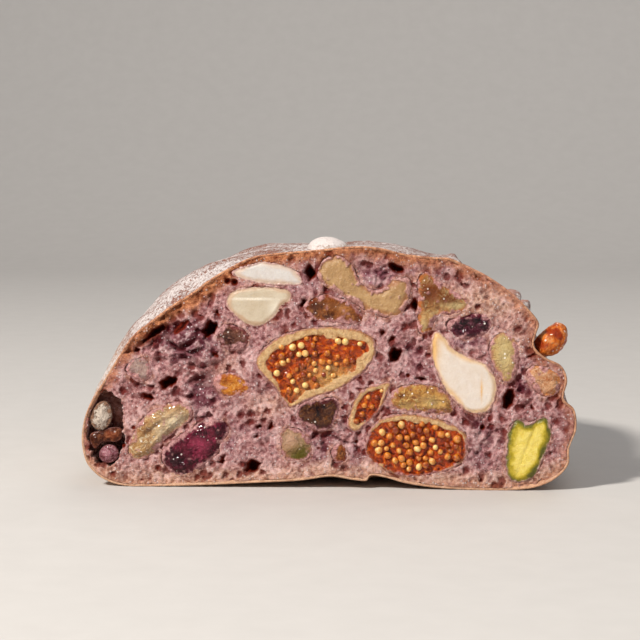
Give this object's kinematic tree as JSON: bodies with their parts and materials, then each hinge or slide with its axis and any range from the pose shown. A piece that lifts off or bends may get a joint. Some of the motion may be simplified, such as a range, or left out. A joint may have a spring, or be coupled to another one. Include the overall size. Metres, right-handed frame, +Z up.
{
  "type": "cut stollen loaf",
  "caption": "Cut half of a dense fruit loaf: flat cut face packed with figs, raisins and nuts, domed floured crust with a score, round far end, flat base.",
  "frame": {"origin": "centre of the loaf's footprint, on the surface it rests on", "axes": "+X along the cut face to the right as it faces the viewer, +Z up, -Y out of the cut face"},
  "size_m": [0.119, 0.1009, 0.0592],
  "materials": {
    "loaf": "dense fruit bread: pinkish-purple crumb, floured brown crust",
    "almond": "blanched almond, cream, slightly waxy",
    "walnut": "cut walnut kernel, greenish tan, waxy",
    "pistachio": "cut pistachio kernel, yellow with a green edge",
    "fig": "dried fig: tan rind, amber flesh, yellow seeds",
    "raisin_amber": "moist amber-brown raisin",
    "raisin_golden": "moist golden-green raisin",
    "raisin_orange": "moist orange raisin",
    "fruit_dark": "dark, glossy berry or raisin",
    "nut_dusted": "pale brown kernel with a sugary crust"
  },
  "bodies": {
    "root": {"loaf": "loaf", "almond_crescent": "almond", "almond_half": "almond", "almond_right": "almond", "almond_top": "almond", "walnut": "walnut", "pistachio": "pistachio", "fig_middle": "fig", "fig_lower": "fig", "fig_side": "fig", "raisin_amber": "raisin_amber", "raisin_amber_low": "raisin_amber", "raisin_peach_right": "raisin_amber", "raisin_pale_left": "raisin_amber", "raisin_brown_left": "raisin_amber", "raisin_golden_left": "raisin_golden", "raisin_golden_centre": "raisin_golden", "raisin_green_right": "raisin_golden", "raisin_green_top": "raisin_golden", "raisin_green_low": "raisin_golden", "raisin_orange_left": "raisin_orange", "raisin_orange_out": "raisin_orange", "raisin_dark_centre": "fruit_dark", "raisin_dark_left": "fruit_dark", "cranberry": "fruit_dark", "berry_dark_right": "fruit_dark", "currant_left": "fruit_dark", "nut_dusted": "nut_dusted"}
  },
  "joints": []
}
